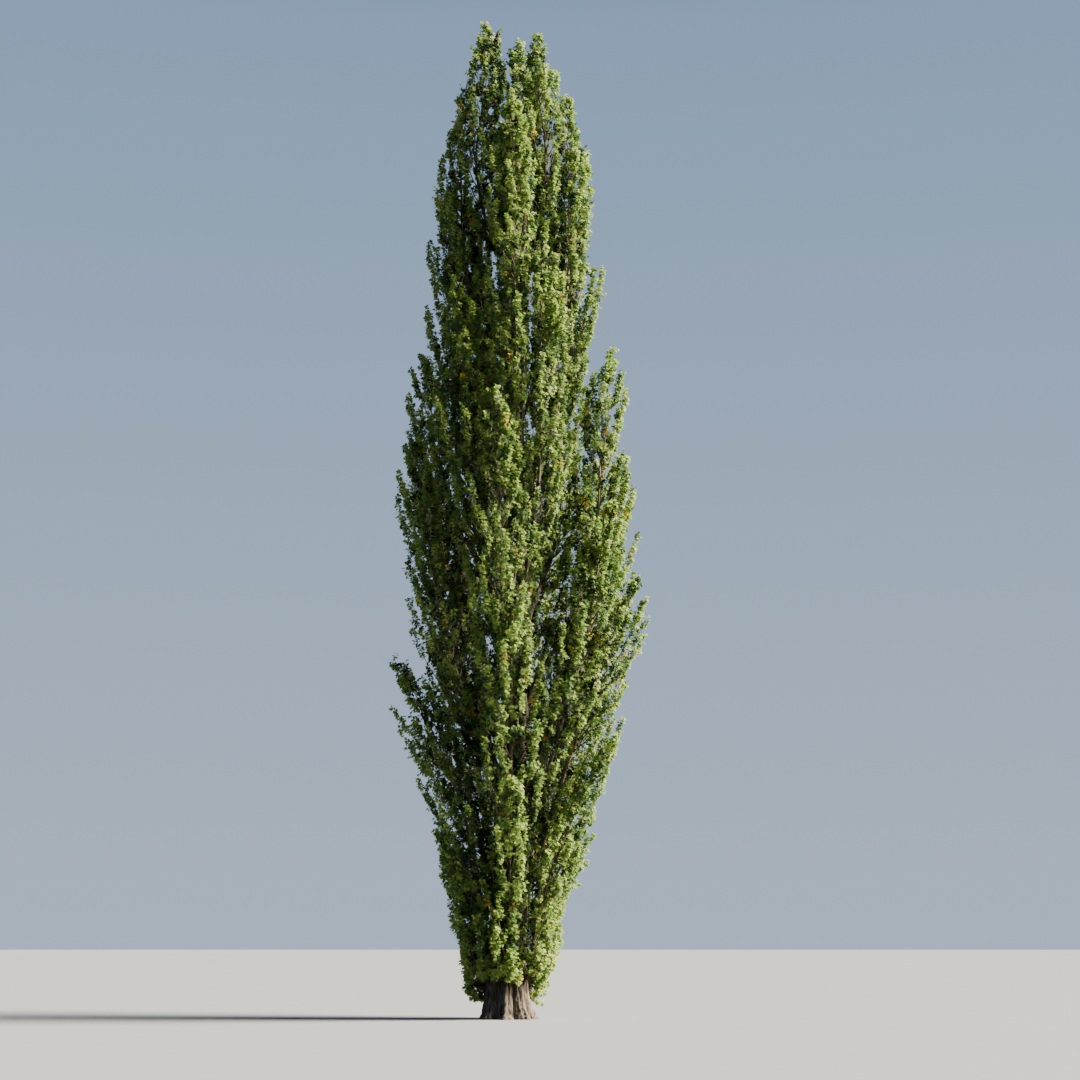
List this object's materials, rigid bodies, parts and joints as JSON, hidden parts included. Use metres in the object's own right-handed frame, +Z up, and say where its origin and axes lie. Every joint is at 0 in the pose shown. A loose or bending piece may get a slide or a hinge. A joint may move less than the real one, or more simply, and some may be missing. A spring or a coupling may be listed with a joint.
{
  "type": "lombardy poplar tree",
  "caption": "Tall columnar poplar rooted in level ground: fluted tapering trunk, steep boughs and close-set upright plumes of foliage from near the ground to the crest.",
  "frame": {"origin": "middle of the flat cut where the trunk meets level ground", "axes": "+Z straight up; +X to the right and +Y away, as seen from the front of the tree"},
  "size_m": [6.1735, 6.1948, 25.0092],
  "materials": {
    "bark": "rough furrowed bark",
    "foliage": "small glossy leaves on fine twigs"
  },
  "bodies": {
    "root": {"trunk": "bark", "upper_bough_1": "bark", "upper_bough_2": "bark", "upper_bough_3": "bark", "upper_bough_4": "bark", "upper_bough_5": "bark", "high_bough_1": "bark", "high_bough_2": "bark", "high_bough_3": "bark", "high_bough_4": "bark", "high_bough_5": "bark", "high_bough_6": "bark", "middle_bough_1": "bark", "middle_bough_2": "bark", "middle_bough_3": "bark", "middle_bough_4": "bark", "middle_bough_5": "bark", "middle_bough_6": "bark", "low_bough_1": "bark", "low_bough_2": "bark", "low_bough_3": "bark", "low_bough_4": "bark", "low_bough_5": "bark", "crest_plume_1": "foliage", "crest_plume_2": "foliage", "crest_plume_3": "foliage", "shoulder_plume_1": "foliage", "shoulder_plume_2": "foliage", "shoulder_plume_3": "foliage", "shoulder_plume_4": "foliage", "upper_plume_1": "foliage", "upper_plume_2": "foliage", "upper_plume_3": "foliage", "upper_plume_4": "foliage", "upper_plume_5": "foliage", "high_plume_1": "foliage", "high_plume_2": "foliage", "high_plume_3": "foliage", "high_plume_4": "foliage", "high_plume_5": "foliage", "high_plume_6": "foliage", "middle_plume_1": "foliage", "middle_plume_2": "foliage", "middle_plume_3": "foliage", "middle_plume_4": "foliage", "middle_plume_5": "foliage", "middle_plume_6": "foliage", "low_plume_1": "foliage", "low_plume_2": "foliage", "low_plume_3": "foliage", "low_plume_4": "foliage", "low_plume_5": "foliage", "skirt_plume_1": "foliage", "skirt_plume_2": "foliage", "skirt_plume_3": "foliage", "skirt_plume_4": "foliage", "skirt_plume_5": "foliage", "skirt_plume_6": "foliage"}
  },
  "joints": []
}
